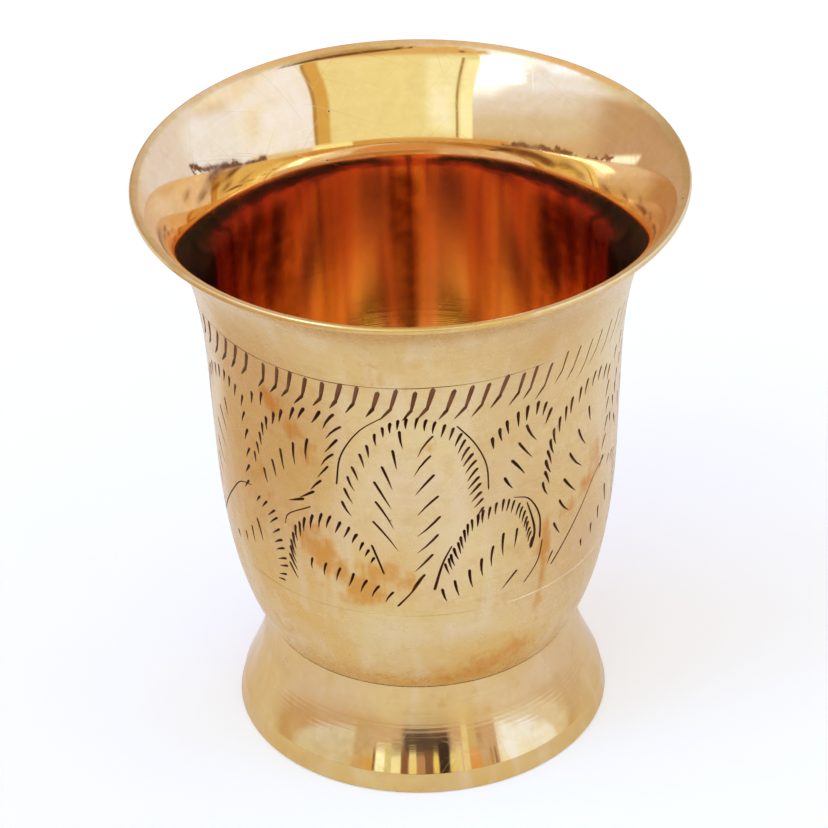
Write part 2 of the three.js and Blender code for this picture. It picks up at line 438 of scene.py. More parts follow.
def cut_all():
    cuts = border_cuts()
    for turn, shake in ((0, 0.1), (LEAF_UNIT, 0.35), (-LEAF_UNIT, 0.1)):
        cuts += leaf_cuts(turn, shake)
    cuts.append(guide_line(UPPER_LINE, UPPER_LINE_WIDTH, wobble=0.05, fade=0.7, stain=0.6))
    start = -LINE_END
    for end, stain in LOWER_LINE_PARTS:
        cuts.append(guide_line(LOWER_LINE, LOWER_LINE_WIDTH, 0.02, 0, stain, start, end))
        start = end
    for ends in SCRAPES:
        path = unroll(ends)
        path = np.array([path[0], path.mean(0) + [0, 0.15], path[1]])
        cuts.append(shaped(path, SCRAPE_WIDTH, TEARDROP, limit=0.02, stain=0.22))
    return cuts


def depth_and_stain(places, cuts):
    """How deep the metal is cut at each unrolled place, and how dark it has become there."""
    depth = np.zeros(len(places))
    stain = np.zeros(len(places))
    order = np.argsort(places[:, 0])
    sorted_x = places[order, 0]
    for cut in cuts:
        reach = cut.half.max()
        low, high = cut.line.min(0) - reach, cut.line.max(0) + reach
        near = order[np.searchsorted(sorted_x, low[0]) : np.searchsorted(sorted_x, high[0], side="right")]
        near = near[(places[near, 1] >= low[1]) & (places[near, 1] <= high[1])]
        if not len(near):
            continue
        start, step = cut.line[:-1], np.diff(cut.line, axis=0)
        to = places[near][:, None] - start
        share = np.clip((to * step).sum(2) / (step**2).sum(1), 0, 1)
        gap = np.linalg.norm(to - share[..., None] * step, axis=2)
        half = cut.half[:-1] * (1 - share) + cut.half[1:] * share
        inside = (half - gap).max(1).clip(0)
        deep = np.minimum(CUT_SLOPE * inside, cut.limit)
        dark = cut.stain * np.minimum(1, deep / 0.03)
        depth[near] = np.maximum(depth[near], deep)
        stain[near] = np.maximum(stain[near], dark)
    return depth, stain


def outlines(cut):
    """Lines of mesh edges for a cut: its sides, its middle and the edges of its floor where that is flat."""
    slope = np.gradient(cut.line, axis=0)
    slope /= np.linalg.norm(slope, axis=1, keepdims=True)
    side = np.stack([-slope[:, 1], slope[:, 0]], 1)
    lines = [cut.line + side * (cut.half * share)[:, None] for share in (-1, -0.78, 0, 0.78, 1)]
    floor = (cut.half - cut.limit / CUT_SLOPE).clip(0)
    if floor.max() > 0.02:
        lines += [cut.line + side * (floor * share)[:, None] for share in (-1, 1)]
    return lines


def carved_band(cuts):
    """Triangles of the unrolled band, with mesh edges along every cut."""
    half_turn = math.pi * UNROLL_RADIUS
    columns = np.linspace(-half_turn, half_turn, ROUND + 1)
    rows = np.linspace(BAND_LOW, BAND_HIGH, BAND_ROWS + 1)
    shifts = [(-2 * half_turn, 0), (0, 0), (2 * half_turn, 0)]
    copies = [Cut(c.line + shift, c.half, c.limit, c.stain) for c in cuts for shift in shifts]
    cuts = [c for c in copies if c.line[:, 0].max() > -half_turn - 1 and c.line[:, 0].min() < half_turn + 1]
    grid = np.array([(x, y) for y in rows[1:-1] for x in columns[1:-1]])
    wide = [Cut(c.line, c.half + 0.3) for c in cuts]
    grid = grid[depth_and_stain(grid, wide)[0] == 0]
    places, edges = [], []

    def add_line(line):
        first = len(places)
        places.extend(map(tuple, line))
        edges.extend((i, i + 1) for i in range(first, len(places) - 1))

    for y in (rows[0], rows[-1]):
        add_line([(x, y) for x in columns])
    for x in (columns[0], columns[-1]):
        add_line([(x, y) for y in rows])
    for cut in cuts:
        for line in outlines(cut):
            add_line(line)
    places += list(map(tuple, grid))
    points, _, faces, _, _, _ = delaunay_2d_cdt([Vector(p) for p in places], edges, [], 0, 1e-5)
    points = np.array([tuple(p) for p in points])
    faces = np.array(faces)
    middle = points[faces].mean(1)
    faces = faces[(abs(middle[:, 0]) < half_turn) & (middle[:, 1] > BAND_LOW) & (middle[:, 1] < BAND_HIGH)]
    return points, faces, cuts


def wall_normals(places):
    """Outward normals of the uncut wall at points in millimetres."""
    height = places[:, 2]
    slope = (wall_radius(height + 0.05) - wall_radius(height - 0.05)) / 0.1
    radius = np.hypot(places[:, 0], places[:, 1]).clip(1e-9)  # not nought, even on the axis
    normals = np.stack([places[:, 0] / radius, places[:, 1] / radius, -slope], 1)
    return normals / np.linalg.norm(normals, axis=1, keepdims=True)


def placed(name, data):
    """A new object in the scene."""
    made = bpy.data.objects.new(name, data)
    bpy.context.scene.collection.objects.link(made)
    return made


INNER, OUTER, CUT_FACE = range(3)


class Skin:
    """Collects the vertices and faces of one mesh, in millimetres, with a finish for each vertex."""

    def __init__(self):
        self.points = []
        self.faces = []
        self.kinds = []
        self.marks = {"run": [], "rough": [], "lathe": [], "aged": [], "stain": []}

    def add(self, points, faces, kinds=INNER, **marks):
        first = sum(len(p) for p in self.points)
        self.points.append(np.asarray(points, float))
        self.faces += [tuple(int(first + i) for i in f) for f in faces]
        self.kinds += list(np.broadcast_to(kinds, len(faces)))
        for name, values in self.marks.items():
            values += list(np.broadcast_to(marks.get(name, 0), len(points)))

    def build(self, name):
        mesh = bpy.data.meshes.new(name)
        points = np.vstack(self.points)
        mesh.from_pydata(points * MM, [], self.faces)
        for mark, values in self.marks.items():
            stored = mesh.attributes.new(mark, "FLOAT", "POINT")
            stored.data.foreach_set("value", np.array(values, np.float32))
        mesh.attributes.new("kind", "INT", "FACE").data.foreach_set("value", np.array(self.kinds, np.int32))
        tints = (patina_and_painted_light(points) * np.array(self.marks["aged"])[:, None]).astype(np.float32)
        mesh.attributes.new("patina_and_painted_light", "FLOAT_COLOR", "POINT").data.foreach_set("color", tints.ravel())
        join_doubles(mesh)
        mesh.polygons.foreach_set("use_smooth", [True] * len(mesh.polygons))
        mesh.update()
        set_wall_normals(mesh)
        return placed(name, mesh)


# Old stains in the brass, and painted sheen and shade on its outside, as (azimuth, height, half width in
# degrees, half height, strength). The material mixes their tints in.
ORANGE_STAINS = [
    # the patch in the left shell and its tail
    (-33, 49.5, 3.2, 2.6, 1), (-28.5, 48, 4, 3, 0.95), (-24, 45.8, 3.4, 2, 0.7), (-17, 43, 5, 2.6, 0.9),
    (-19, 40, 5, 1.6, 0.85), (-9, 45.5, 5, 2.4, 0.85), (-3.5, 44, 3, 1.8, 0.6), (-29, 42.5, 5, 1.5, 0.4),
    # the left leaf
    (-42, 75.4, 3.6, 2, 0.95), (-35.5, 71, 3, 2.4, 0.95), (-31, 68, 2.4, 2.4, 0.6),
    (-52.5, 64.5, 2.6, 2, 0.5), (-50, 58, 3, 2.4, 0.5), (-46, 55, 3, 4, 0.35), (-55, 52, 3, 5, 0.4),
    # between the right shell and the short leaf
    (38.2, 47.6, 2, 2.4, 1), (37.7, 40.2, 1.6, 4.2, 1), (36.8, 35, 1.3, 2.6, 0.8), (46, 51, 6, 1.1, 0.75),
    (55, 53.6, 4, 2, 0.85), (60, 57, 2.5, 4, 0.7),
    # along the seam
    (20, 24, 10, 2.6, 0.9), (34, 24, 6, 3, 0.6), (-14, 20.5, 16, 1.4, 0.5), (12, 20, 10, 1.2, 0.5),
    (-48, 26, 8, 2.5, 0.5), (13, 39, 8, 1, 0.5),
    # faint ones
    (-12, 87.5, 2.4, 3.4, 0.55), (-5, 84.5, 4, 1.4, 0.4), (4, 74, 1.6, 3, 0.4), (64, 68, 3, 6, 0.4),
    (9, 15, 8, 1.6, 0.3), (26, 14, 5, 1.8, 0.4),
    # on the back
    (-150, 50, 8, 4, 0.9), (-140, 45, 5, 5, 0.7), (128, 62, 6, 5, 0.8), (138, 57, 5, 3, 0.7),
    (172, 38, 12, 3, 0.7), (-108, 71, 5, 7, 0.6), (96, 34, 4, 7, 0.6), (160, 26, 14, 3, 0.8),
]
# Rose tints: partly stains, partly painted sheen, such as the pale band round the lower belly and pale sides
ROSE_STAINS_AND_PAINTED_SHEEN = [
    (56, 42, 10, 6, 0.6), (36, 93, 12, 3, 0.5), (2, 60, 9, 13, 0.7), (10, 31.5, 26, 2.6, 0.9),
    (62, 62, 7, 12, 0.45), (-8, 95, 26, 1.6, 0.3), (-42, 14, 16, 3, 0.8), (45, 15, 18, 3, 0.8),
    (150, 78, 20, 6, 0.5),
]
# Straw tints: partly stains, partly painted sheen, such as the pale band on the lower belly
STRAW_STAINS_AND_PAINTED_SHEEN = [
    (24, 82, 10, 5, 0.9), (5, 76, 6, 4, 0.5), (-44, 88, 16, 4, 0.5), (-14, 33, 18, 3.5, 0.5),
    (14, 51, 9, 6, 0.6), (46, 84, 10, 5, 0.5), (66, 80, 6, 12, 0.6), (-15, 63, 5, 6, 0.5),
    (26, 66, 6, 6, 0.6), (-170, 66, 12, 9, 0.7), (108, 46, 12, 8, 0.6),
]
# Tan tints: partly stains, partly painted shade under the lip, on the left of the wall and foot, and beside
# the belly's pale band
TAN_STAINS_AND_PAINTED_SHADE = [
    (30, 25, 10, 5, 0.9), (-56, 50, 10, 12, 0.6), (-50, 32, 16, 8, 0.95), (-30, 64, 8, 7, 0.45),
    (8, 25, 30, 4.5, 0.9), (26, 21, 20, 3, 0.9), (-75, 8, 11, 6, 0.9), (-68, 34, 14, 8, 0.7),
    (0, 99.6, 44, 0.7, 0.85), (-8, 49, 7, 4, 0.6), (0, 1.6, 90, 2.4, 1), (-84, 12, 9, 8, 0.9),
    (14, 12, 18, 2.5, 0.6), (-6, 14, 18, 2, 0.3), (-15, 40, 20, 5, 0.6), (0, 88, 34, 4.5, 0.6),
    (-36, 29, 18, 7, 0.6), (20, 96, 40, 2, 0.4), (-30, 97, 24, 2.5, 0.4), (-130, 62, 16, 14, 0.6),
    (120, 40, 20, 10, 0.5), (170, 54, 18, 8, 0.5), (-160, 28, 26, 7, 0.6),
]
STAINS_AND_PAINTED_LIGHT = [ORANGE_STAINS, ROSE_STAINS_AND_PAINTED_SHEEN, STRAW_STAINS_AND_PAINTED_SHEEN, TAN_STAINS_AND_PAINTED_SHADE]


def bell(distance, half):
    return np.exp(-0.5 * (distance / half) ** 2)


def turned_from(azimuth, middle):
    """Degrees round from a middle, at most half a turn."""
    return (azimuth - middle + 180) % 360 - 180


def patina_and_painted_light(points):
    """How much of each tint, from stains and from painted sheen and shade, lies on each point."""
    azimuth = np.degrees(np.arctan2(points[:, 0], -points[:, 1]))
    tints = np.zeros((len(points), 4))
    for tint, patches in enumerate(STAINS_AND_PAINTED_LIGHT):
        for middle, height, wide, tall, strength in patches:
            share = strength * bell(turned_from(azimuth, middle), wide) * bell(points[:, 2] - height, tall)
            tints[:, tint] = 1 - (1 - tints[:, tint]) * (1 - share)
    return tints


def join_doubles(mesh):
    made = bmesh.new()
    made.from_mesh(mesh)
    bmesh.ops.remove_doubles(made, verts=made.verts, dist=1e-7)
    made.to_mesh(mesh)
    made.free()


def values_of(items, name, size=1, kind=float):
    """A value, or a row of them, for every item of a mesh."""
    values = np.zeros(len(items) * size, kind)
    items.foreach_get(name, values)
    return values.reshape(-1, size) if size > 1 else values


def set_wall_normals(mesh):
    """The outside wall is shaded as the true curve, and each side of a cut as a flat facet."""
    totals = values_of(mesh.polygons, "loop_total", kind=np.int32)
    kind = np.repeat(values_of(mesh.attributes["kind"].data, "value", kind=np.int32), totals)
    flat = np.repeat(values_of(mesh.polygons, "normal", 3), totals, axis=0)
    corners = values_of(mesh.loops, "vertex_index", kind=np.int32)
    places = values_of(mesh.vertices, "co", 3)[corners] / MM
    normals = np.zeros((len(corners), 3))
    normals[kind == OUTER] = wall_normals(places[kind == OUTER])
    normals[kind == CUT_FACE] = flat[kind == CUT_FACE]
    mesh.normals_split_custom_set(normals)


# Painted reflections: dark and bright streaks down the back of the bore, as (degrees from the back,
# half width in degrees, darkness low down, darkness high up). A darkness below nought is a painted bright
# reflection.
PAINTED_BORE_REFLECTIONS = [
    (-2.3, 4.8, 0.4, 0.5), (-25, 3.5, 0.26, 0.22), (22, 3, 0.26, 0.14), (44, 8, 0.3, 0.3),
    (-43, 8, 0.3, 0.3), (-13.8, 4.6, -0.95, -0.25), (12.2, 4.8, -0.95, -0.3), (31.5, 3, -0.5, -0.1),
    (-32, 3.5, -0.35, 0), (90, 17, 0, 0.5), (-90, 17, 0, 0.5), (-70, 12, -0.4, 0), (61, 12, -0.4, 0),
]
STREAK_ENDS = [20, 30, 80, 83]  # heights where they start, are full, are still full and end
STREAK_TURN = [60, 71]  # heights between which they go over from one darkness to the other
# The same painted reflections on the floor in front, which shows again in the back of the bore
PAINTED_FLOOR_REFLECTIONS = [(138, 13, -0.85), (-144, 13, -0.85), (174, 9, 0.3)]
FLOOR_RIM = [24, 32]  # heights between which they end
FLOOR_MIDDLE = [7, 14]  # radii between which they start
# The painted shade on the bore's sides, and where it starts, is full, is still full and ends
PAINTED_SIDE_SHADE = 0.36
SIDE_HEIGHTS = [54, 66, 79, 83]
SIDE_DEGREES = [34, 60, 128, 150]
# Painted dark reflections and painted glints round the shoulder, as (degrees from the back, half width
# in degrees, height, half height, darkness)
PAINTED_SHOULDER_REFLECTIONS = [
    (-60.5, 4.2, 91.3, 0.5, 0.52), (-54.5, 3, 89.7, 0.42, 0.52), (-63, 2.6, 89.8, 0.32, 0.4),
    (-51, 2.6, 87.7, 0.32, 0.5), (-59, 2.4, 88.6, 0.3, 0.4), (-70, 3.2, 90.5, 0.42, 0.42),
    (-76, 2.6, 92.7, 0.42, 0.32), (-48, 2.8, 87, 0.35, -0.9), (-52.4, 1.8, 88.8, 0.3, -0.7),
    (-57, 1.6, 87.4, 0.3, -0.6), (-67, 1.6, 92.9, 0.4, -0.6), (31, 5, 87, 0.32, 0.5),
    (38, 4, 87.4, 0.36, 0.55), (43.4, 3, 86.8, 0.34, 0.5), (48, 2.2, 88.2, 0.32, 0.42),
    (54.4, 2.4, 87.7, 0.34, 0.5), (65.3, 2.6, 88.4, 0.36, 0.4), (76, 2.8, 90.3, 0.4, 0.4),
    (84, 2.2, 92.5, 0.4, 0.32), (47, 2.2, 86.6, 0.28, -0.7), (59, 2, 88.3, 0.3, -0.6),
    (81, 1.7, 91, 0.4, -0.6),
]


def painted_bore_light(points):
    """Painted light inside the bowl at each point: reflections as streaks, shade at the sides, and dark
    reflections and glints round the shoulder.
    """
    azimuth = np.degrees(np.arctan2(points[:, 0], points[:, 1]))
    radius = np.hypot(points[:, 0], points[:, 1])
    height = points[:, 2]

    def near(middle, wide):
        return bell(turned_from(azimuth, middle), wide)

    # dark is painted shade and dark reflection above nought, and painted highlight below it
    up = np.interp(height, STREAK_TURN, [0, 1])
    dark = sum((low + (high - low) * up) * near(middle, wide) for middle, wide, low, high in PAINTED_BORE_REFLECTIONS)
    dark = dark * np.interp(height, STREAK_ENDS, [0, 1, 1, 0])
    floor = np.interp(height, FLOOR_RIM, [1, 0]) * np.interp(radius, FLOOR_MIDDLE, [0, 1])
    dark = dark + floor * sum(most * near(middle, wide) for middle, wide, most in PAINTED_FLOOR_REFLECTIONS)
    for middle, wide, level, tall, most in PAINTED_SHOULDER_REFLECTIONS:
        dark = dark + most * near(middle, wide) * bell(height - level, tall)
    sides = np.interp(abs(azimuth), SIDE_DEGREES, [0, 1, 1, 0])
    return dark + PAINTED_SIDE_SHADE * sides * np.interp(height, SIDE_HEIGHTS, [0, 1, 1, 0])


def turned(
    skin, rings, kinds=INNER, closed=False, start=0,
    rough=WALL_ROUGH, lathe=WALL_LATHE, aged=1, painted_light=None,
):
    """Adds a surface of revolution. A ring on the axis becomes one point."""
    angle = np.arange(ROUND) * 2 * math.pi / ROUND
    runs = start + np.r_[0, np.cumsum(np.linalg.norm(np.diff(rings, axis=0), axis=1))]
    finish = [np.broadcast_to(value, len(rings)) for value in (rough, lathe, aged)]
    points, rows, marks = [], [], []
    for (radius, height), *mark in zip(rings, runs, *finish):
        first = len(points)
        if radius < 1e-6:
            points.append((0, 0, height))
            rows.append([first] * ROUND)
        else:
            points += [(radius * math.sin(a), -radius * math.cos(a), height) for a in angle]
            rows.append(list(range(first, first + ROUND)))
        marks += [mark] * (len(points) - first)
    if closed:
        rows.append(rows[0])
    faces = []
    for low, high in zip(rows, rows[1:]):
        for i in range(ROUND):
            j = (i + 1) % ROUND
            faces.append(list(dict.fromkeys([low[i], low[j], high[j], high[i]])))
    run, rough, lathe, aged = np.array(marks).T
    # For the inside, the stain mark carries painted reflections and painted shade
    stain = painted_light(np.array(points)) if painted_light else 0
    skin.add(points, faces, kinds, run=run, rough=rough, lathe=lathe, aged=aged, stain=stain)


def make_bowl():
    skin = Skin()
    low, high, lip, inside = bowl_rings()
    turned(skin, low, OUTER, start=low[0][1])
    turned(skin, high, OUTER, start=high[0][1])
    turned(skin, lip, start=LIP_RUN, rough=LIP_ROUGH)
    inside = np.vstack([lip[-1:], inside])
    above = inside[:, 1] - throat[1] - SHOULDER_RISE
    rough, lathe, aged = (np.interp(above, *finish) for finish in (INSIDE_ROUGH, INSIDE_LATHE, INSIDE_AGED))
    # The inside gets painted reflections and painted shade as its stain
    turned(skin, inside, start=INSIDE_RUN, rough=rough, lathe=lathe, aged=aged, painted_light=painted_bore_light)
    unrolled, faces, cuts = carved_band(cut_all())
    depth, stain = depth_and_stain(unrolled, cuts)
    in_cut = depth_and_stain(unrolled[faces].mean(1), cuts)[0] > 0
    plain = np.unique(faces[~in_cut])
    depth[plain] = stain[plain] = 0
    turn = unrolled[:, 0] / UNROLL_RADIUS
    radius = wall_radius(unrolled[:, 1])
    wall_points = np.stack([radius * np.sin(turn), -radius * np.cos(turn), unrolled[:, 1]], 1)
    points = wall_points - wall_normals(wall_points) * depth[:, None]
    kinds = np.where(in_cut, CUT_FACE, OUTER)
    finish = {"rough": WALL_ROUGH, "lathe": WALL_LATHE, "aged": 1, "stain": stain}
    skin.add(points, faces, kinds, run=unrolled[:, 1], **finish)
    return skin.build("engraved_bowl")


def foot_curve(gap):
    """The outside of the foot, from its band up to where it stops at a gap from the bowl."""
    band_top = point(FOOT_RADIUS - BAND_DRAFT, BAND_HEIGHT)
    square_to_bowl = leaning(SEAM_LEAN + 90)
    top = seam + square_to_bowl * gap
    return bend(band_top, leaning(-FOOT_LEAN), BAND_PULL, top, leaning(-NECK_LEAN), NECK_PULL)


def with_turning_marks(rows):
    """Shallow ripples round the middle of the foot."""
    height = rows[:, 1]
    share = np.interp(height, RIPPLE_ENDS, [0, 1, 1, 0])
    ripple = 0.5 - 0.5 * np.cos(2 * math.pi * height / RIPPLE_PITCH)
    return np.stack([rows[:, 0] - RIPPLE_DEPTH * share * ripple, height], 1)


def make_foot():
    curve = foot_curve(SEAM_GAP)
    out = with_turning_marks(along(curve, FOOT_STEPS))
    inn = along(curve, FOOT_INSIDE_STEPS, -FOOT_WALL)
    under = wall(SEAM_GAP)
    top_inside = point(inn[-1][0], np.interp(inn[-1][0], under[:, 0], under[:, 1]))
    base_out = point(FOOT_RADIUS - BASE_EASE, 0)
    base_edge = point(FOOT_RADIUS - BASE_EASE * BAND_DRAFT / BAND_HEIGHT, BASE_EASE)
    base_in = point(FOOT_RADIUS - FOOT_WALL, 0)
    middle = (base_out + base_in) / 2
    outer = chain(
        eased([middle, base_out, base_edge, out[0], out[1]], BASE_ROUND),
        out[2:-1],
        eased([out[-2], out[-1], top_inside], FOOT_TOP_ROUND)[1:-1],
    )
    inner = chain(
        outer[-1:],
        eased([out[-1], top_inside, inn[-2]], FOOT_TOP_ROUND)[1:-1],
        inn[1:-1][::-1][1:],
        eased([inn[1], inn[0], base_in, middle], BASE_INNER_ROUND)[1:],
    )
    skin = Skin()
    rough, lathe = (np.interp(outer[:, 1], *finish) for finish in (FOOT_ROUGH, FOOT_LATHE))
    turned(skin, outer, rough=rough, lathe=lathe, start=FOOT_RUN)
    turned(skin, inner, rough=UNDER_FOOT_ROUGH, lathe=UNDER_FOOT_LATHE, start=UNDER_FOOT_RUN)
    return skin.build("turned_foot")


def make_braze():
    inn = along(foot_curve(JOINT_GAP), FOOT_INSIDE_STEPS, -FOOT_WALL)
    under = wall(JOINT_GAP)
    outer = inn[-1][0] - JOINT_GAP
    radii = np.linspace(outer, outer - BRAZE_LEG, BRAZE_TOP_STEPS + 1)
    top = [point(r, np.interp(r, under[:, 0], under[:, 1])) for r in radii]
    low_height = top[0][1] - BRAZE_LEG
    low = point(np.interp(low_height, inn[:, 1], inn[:, 0]) - JOINT_GAP, low_height)
    sunk = ((top[-1] + low) / 2 + top[0]) / 2
    rings = chain(top, arc(top[-1], sunk, low, BRAZE_FACE_STEPS)[1:])
    skin = Skin()
    turned(skin, rings, closed=True, rough=BRAZE_ROUGH, lathe=BRAZE_LATHE)
    return skin.build("braze_fillet")


DEGREE = math.degrees(1)  # degrees in a radian


class Wiring:
    """Adds shader nodes to a node tree. A value can be a number or another node's output."""

    def __init__(self, tree):
        self.tree = tree

    def add(self, kind, inputs=(), **settings):
        """A new node's outputs."""
        node = self.tree.nodes.new("ShaderNode" + kind)
        for name, value in settings.items():
            setattr(node, name, value)
        self.feed(node, inputs)
        return node.outputs

    def feed(self, node, inputs):
        for name, value in dict(inputs).items():
            socket = node.inputs[name]
            if isinstance(value, bpy.types.NodeSocket):
                self.tree.links.new(value, socket)
            else:
                socket.default_value = (*value, 1) if socket.type == "RGBA" else value

    def math(self, operation, *values):
        return self.add("Math", enumerate(values), operation=operation)[0]

    def times(self, a, b):
        return self.math("MULTIPLY", a, b)

    def plus(self, a, b):
        return self.math("ADD", a, b)

    def minus(self, a, b):
        return self.math("SUBTRACT", a, b)

    def azimuth(self, across, ahead, scale=DEGREE):
        return self.times(self.math("ARCTAN2", across, ahead), scale)

    def places(self, kind):
        """A point's place, and its three numbers one by one."""
        place = self.add("TexCoord")[kind]
        return place, *self.add("SeparateXYZ", {0: place})

    def joined(self, *values):
        return self.add("CombineXYZ", enumerate(values))[0]

    def mark(self, name, output="Fac"):
        """A value stored on the mesh's vertices."""
        return self.add("Attribute", attribute_name=name)[output]

    def noise(self, place, scale, detail):
        return self.add("TexNoise", {"Vector": place, "Scale": scale, "Detail": detail})["Fac"]

    def step(self, value, start, end, low=0, high=1):
        """Goes smoothly from low to high while the value goes from start to end."""
        inputs = {"Value": value, "From Min": start, "From Max": end, "To Min": low, "To Max": high}
        return self.add("MapRange", inputs, interpolation_type="SMOOTHSTEP")[0]

    def between(self, value, low, high, soft):
        """One inside a range of values and nought outside it, with soft edges."""
        past_low = self.step(value, low - soft, low + soft)
        return self.times(past_low, self.step(value, high + soft, high - soft))

    def blend(self, share, a, b):
        return self.add("Mix", {"Factor": share, "A": a, "B": b}, data_type="RGBA")["Result"]

    def tinted(self, colour, tint, value, start, end, most=1):
        """A colour that takes a tint on while a value goes from start to end."""
        return self.blend(self.step(value, start, end, 0, most), colour, tint)


def new_material(name):
    material = bpy.data.materials.new(name)
    material.use_nodes = True
    return material


# Colours of the brass, from clean to dirty, with painted highlight, sheen and shade among them
BRASS_YELLOW = (0.84, 0.6, 0.255)
BRASS_ROSE = (0.82, 0.565, 0.262)
BRASS_INSIDE = (0.91, 0.585, 0.32)
BRAZING_LIGHT = (0.55, 0.36, 0.15)
BRAZING_DARK = (0.42, 0.25, 0.1)
# Painted highlight colour for the bright reflections painted inside the bore
PAINTED_HIGHLIGHT = (1, 0.85, 0.37)
BLOOM = (0.9, 0.69, 0.35)
# Painted sheen colour: pale vertical bands that stand in for soft highlights
PAINTED_SHEEN = (0.88, 0.67, 0.4)
STREAKED = (0.86, 0.68, 0.35)
MOTTLED = (0.7, 0.45, 0.17)
SCRATCHED = (0.62, 0.42, 0.14)
# Rose, straw and tan tints of stains and of painted sheen and shade, each with the scale of its blotches
STAIN_SHEEN_AND_SHADE_TINTS = [((0.87, 0.65, 0.4), 130), ((0.87, 0.69, 0.36), 150), ((0.8, 0.5, 0.15), 90)]
ORANGE_TARNISH = (0.74, 0.35, 0.075)
# Dark stain in the cuts and grime in pits, both also used for painted shade and dark reflections inside the
# bore
CUT_STAIN_AND_PAINTED_SHADE = (0.26, 0.105, 0.055)
GRIME_AND_PAINTED_SHADE = (0.075, 0.027, 0.012)

METALLIC = 0.98
ANISOTROPY = 0.7
GRAIN_TURN = 0.25  # turns the grain to run round the axis
RELIEF = 0.012  # scale of the surface's small ups and downs, in millimetres
SCRATCH_DEPTH, PIT_DEPTH, WAVE_HEIGHT = 0.12, 3, 0.8  # as multiples of it
SCRATCHES = [(0.5, 3), (-0.85, 17), (1.25, 41)]  # angles, and where each set starts in the noise


class Brass(Wiring):
    """Turned brass: slight changes of colour, old stains, turning marks, scratches and pits, with painted
    sheen, shade and reflections.
    """

    def __init__(self, name, light=BRASS_YELLOW, dark=BRASS_ROSE):
        self.material = new_material(name)
        super().__init__(self.material.node_tree)
        self.place, self.across, self.deep, _ = self.places("Object")
        self.run = self.mark("run")
        # The stain mark: real stains in the cuts, painted reflections and painted shade inside the bore
        self.stain = self.mark("stain")
        self.aged = self.mark("aged")
        self.mottle = self.noise(self.place, 360, 3)
        self.scratches = self.find_scratches()
        self.pits = self.find_pits()
        self.feed(self.tree.nodes["Principled BSDF"], {
            "Metallic": METALLIC,
            "Anisotropic": ANISOTROPY,
            "Anisotropic Rotation": GRAIN_TURN,
            "Base Color": self.soiled_and_painted_light(self.metal(light, dark)),
            "Roughness": self.roughness(),
            "Normal": self.relief(),
            "Tangent": self.add("Tangent", direction_type="RADIAL", axis="Z")[0],
        })

    def ring_noise(self, slow, fast, detail):
        """Noise that changes slowly round the axis and fast along the section."""
        across, deep = self.times(self.across, slow), self.times(self.deep, slow)
        return self.noise(self.joined(across, deep, self.times(self.run, fast)), 1, detail)

    def find_scratches(self):
        """Fine straight lines in three directions."""
        around = self.azimuth(self.across, self.times(self.deep, -1), UNROLL_RADIUS)
        unrolled = self.joined(around, self.run)
        found = 0
        for angle, start in SCRATCHES:
            leant = self.add("VectorRotate", {"Vector": unrolled, "Angle": angle}, rotation_type="Z_AXIS")[0]
            inputs = {"Vector": leant, "Scale": (0.05, 4.5, 1), "Location": (start, 2 * start, 0)}
            stretched = self.add("Mapping", inputs)[0]
            found = self.math("MAXIMUM", found, self.step(self.noise(stretched, 1, 0), 0.76, 0.79))
        return found

    def find_pits(self):
        """Small round pits, in a few cells out of many."""
        cells = self.add("TexVoronoi", {"Vector": self.place, "Scale": 230})
        chosen = self.step(self.add("SeparateColor", {0: cells["Color"]})[0], 0.86, 0.87)
        return self.times(self.step(cells["Distance"], 0.055, 0.025), chosen)

    def metal(self, light, dark):
        """The colour of the metal with its old stains, and its painted sheen and shade."""
        colour = self.blend(self.step(self.noise(self.place, 70, 3), 0.36, 0.64), light, dark)
        colour = self.tinted(colour, MOTTLED, self.mottle, 0.46, 0.74, 0.42)
        colour = self.tinted(colour, BLOOM, self.noise(self.place, 640, 5), 0.5, 0.7, 0.42)
        colour = self.tinted(colour, STREAKED, self.ring_noise(25, 0.9, 3), 0.5, 0.75, 0.45)
        tarnish, *soft = self.add("SeparateColor", {0: self.mark("patina_and_painted_light", "Color")})
        # The rose, straw and tan marks hold stains, painted sheen and painted shade
        for (tint, scale), patch in zip(STAIN_SHEEN_AND_SHADE_TINTS, [*soft, self.mark("patina_and_painted_light", "Alpha")]):
            blotches = self.step(self.noise(self.place, scale, 4), 0.26, 0.58)
            colour = self.blend(self.times(patch, blotches), colour, tint)
        # Painted sheen: pale vertical bands stand in for soft highlights on the wall
        colour = self.tinted(colour, PAINTED_SHEEN, self.ring_noise(240, 0.035, 2), 0.48, 0.72, 0.5)
        cloud = self.times(self.noise(self.place, 300, 7), 1.5)
        cloud = self.plus(cloud, self.times(self.ring_noise(900, 0.16, 3), 0.9))
        cloud = self.plus(cloud, self.times(tarnish, 0.92))
        colour = self.tinted(colour, ORANGE_TARNISH, cloud, 1.48, 2.12, 0.97)
        return self.blend(self.aged, BRASS_INSIDE, colour)

    def soiled_and_painted_light(self, colour):
        """A colour with scratches, pits and dark cuts over it, and with painted bright and dark reflections
        and painted shade inside the bore.
        """
        colour = self.blend(self.times(self.scratches, 0.22), colour, SCRATCHED)
        colour = self.blend(self.times(self.pits, 0.75), colour, GRIME_AND_PAINTED_SHADE)
        # Inside the bore the stain mark is painted light: below nought a painted highlight, above it painted
        # shade and dark reflections
        stain = self.times(self.stain, self.step(self.mottle, 0.3, 0.7, 1.1, 0.8))
        colour = self.tinted(colour, PAINTED_HIGHLIGHT, stain, 0, -1)
        colour = self.tinted(colour, CUT_STAIN_AND_PAINTED_SHADE, stain, 0, 0.55)
        return self.tinted(colour, GRIME_AND_PAINTED_SHADE, stain, 0.55, 1)

    def roughness(self):
        rough = self.plus(self.mark("rough"), self.step(self.mottle, 0.4, 0.75, -0.01, 0.03))
        return self.plus(rough, self.times(self.times(self.stain, self.aged), 0.2))

